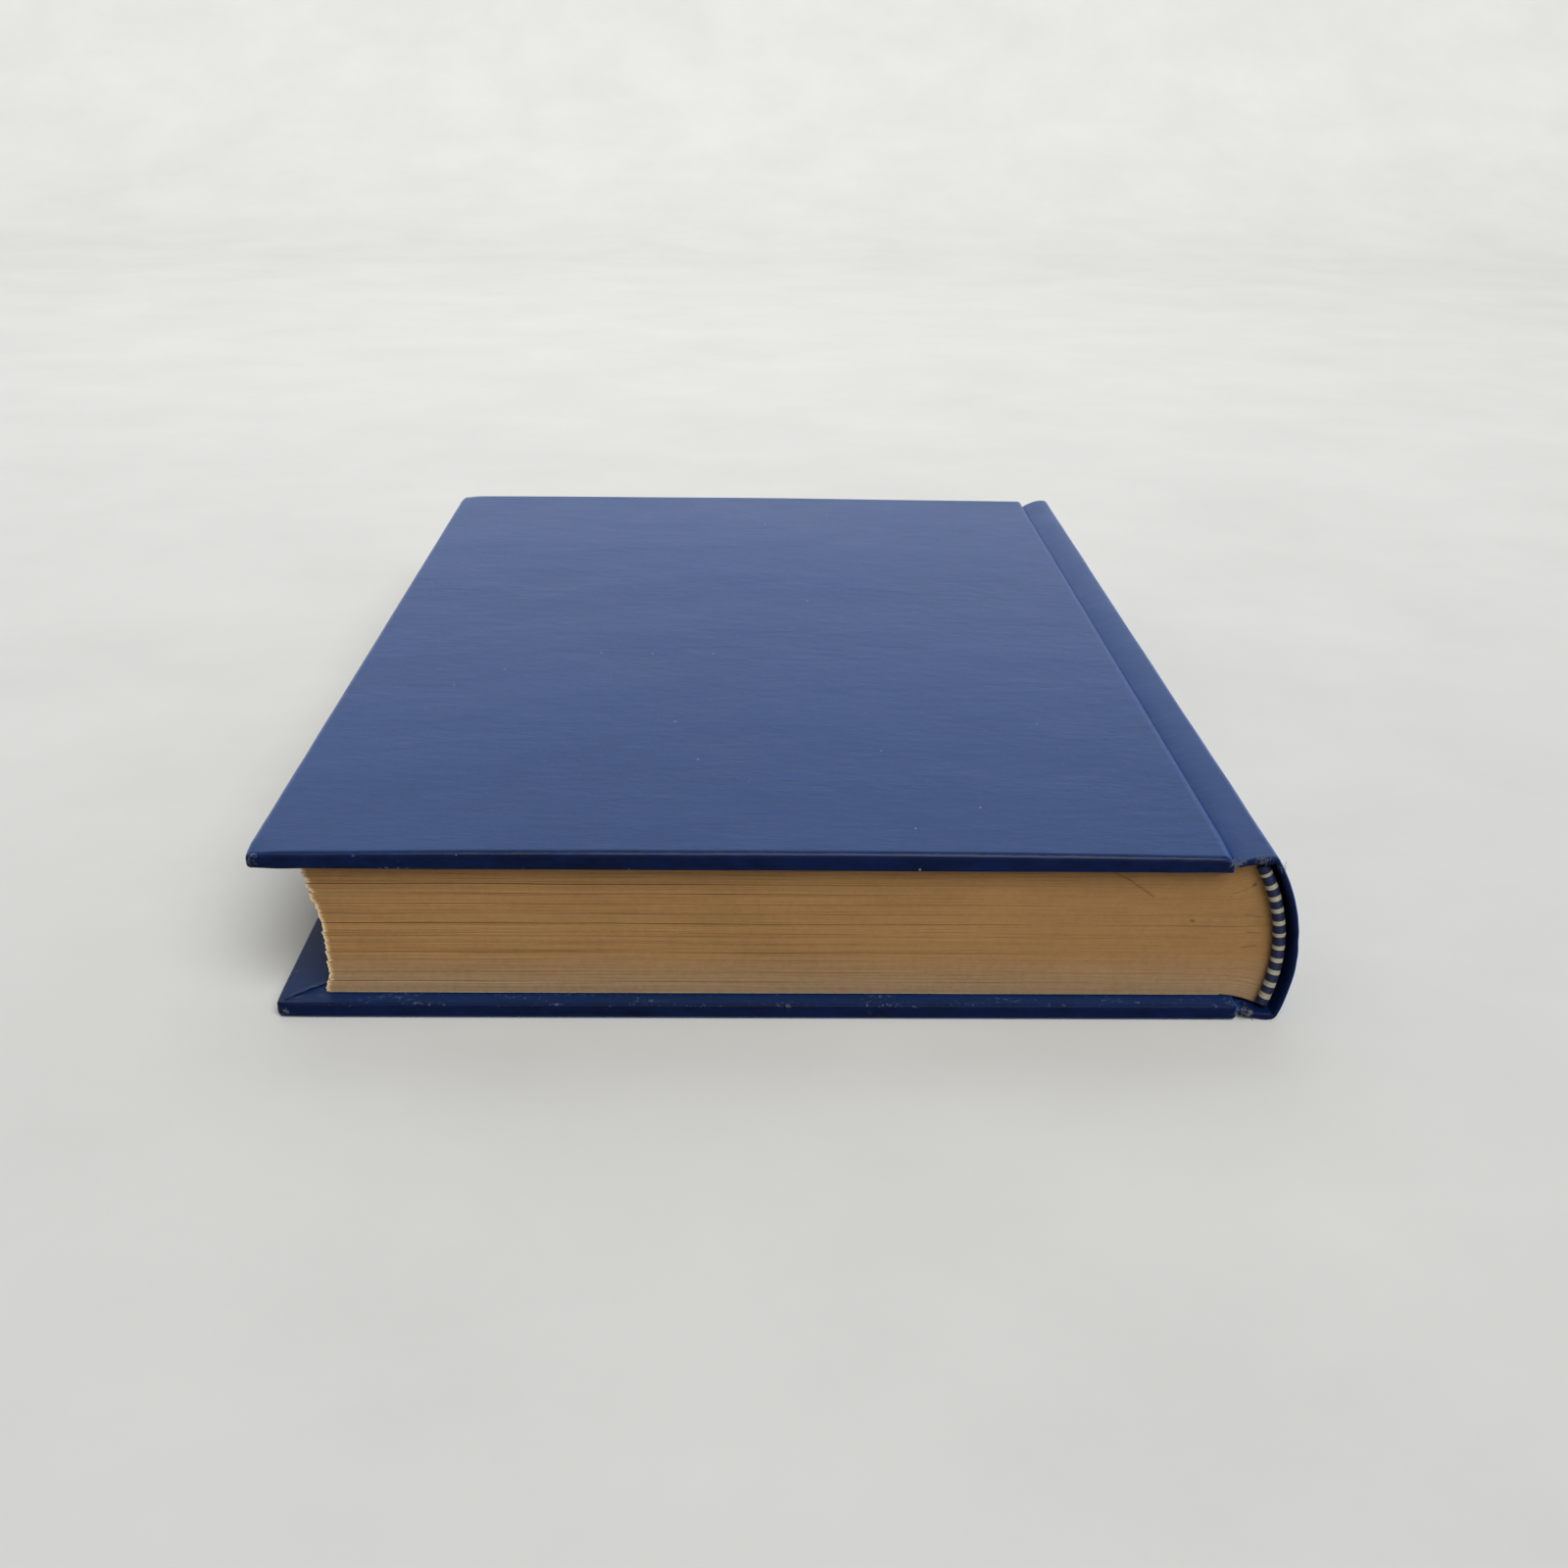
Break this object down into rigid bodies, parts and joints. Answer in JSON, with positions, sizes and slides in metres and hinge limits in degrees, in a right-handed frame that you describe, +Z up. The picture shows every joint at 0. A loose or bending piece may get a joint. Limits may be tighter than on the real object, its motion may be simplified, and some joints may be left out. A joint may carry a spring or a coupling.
{
  "type": "hardcover book",
  "caption": "Cloth-covered hardcover book with a rounded back, striped headbands, rough-cut fore edge and covers that open flat, lying closed on its back cover.",
  "frame": {"origin": "centre of the bounding box at the floor, under the middle of the closed book", "axes": "+X from the fore edge towards the spine, +Y from the head to the tail along the spine, +Z up through the front cover"},
  "size_m": [0.1456, 0.216, 0.0254],
  "materials": {
    "cover_cloth": "satin",
    "page_paper": "matte",
    "endpaper": "matte",
    "greyboard": "matte",
    "spine_card": "matte",
    "lining_paper": "matte",
    "gauze": "matte",
    "band_thread": "satin"
  },
  "bodies": {
    "book_block": {"pages": "page_paper", "front_flyleaf": "endpaper", "back_flyleaf": "endpaper", "head_band": "band_thread", "tail_band": "band_thread", "mull": "gauze", "spine_lining": "lining_paper", "spine_inlay": "spine_card", "spine_cloth": "cover_cloth"},
    "front_cover": {"front_board": "greyboard", "front_cover_cloth": "cover_cloth", "front_mull_flap": "gauze", "front_pastedown": "endpaper"},
    "back_cover": {"back_board": "greyboard", "back_cover_cloth": "cover_cloth", "back_mull_flap": "gauze", "back_pastedown": "endpaper"}
  },
  "joints": [
    {"name": "front_cover_hinge", "type": "hinge", "parent": "book_block", "child": "front_cover", "pos_m": [0.06189, 0, 0.0256], "axis": [0, 1, 0], "range_deg": [0, 180]},
    {"name": "back_cover_hinge", "type": "hinge", "parent": "book_block", "child": "back_cover", "pos_m": [0.06439, 0, -0.0002], "axis": [0, -1, 0], "range_deg": [0, 180]}
  ]
}
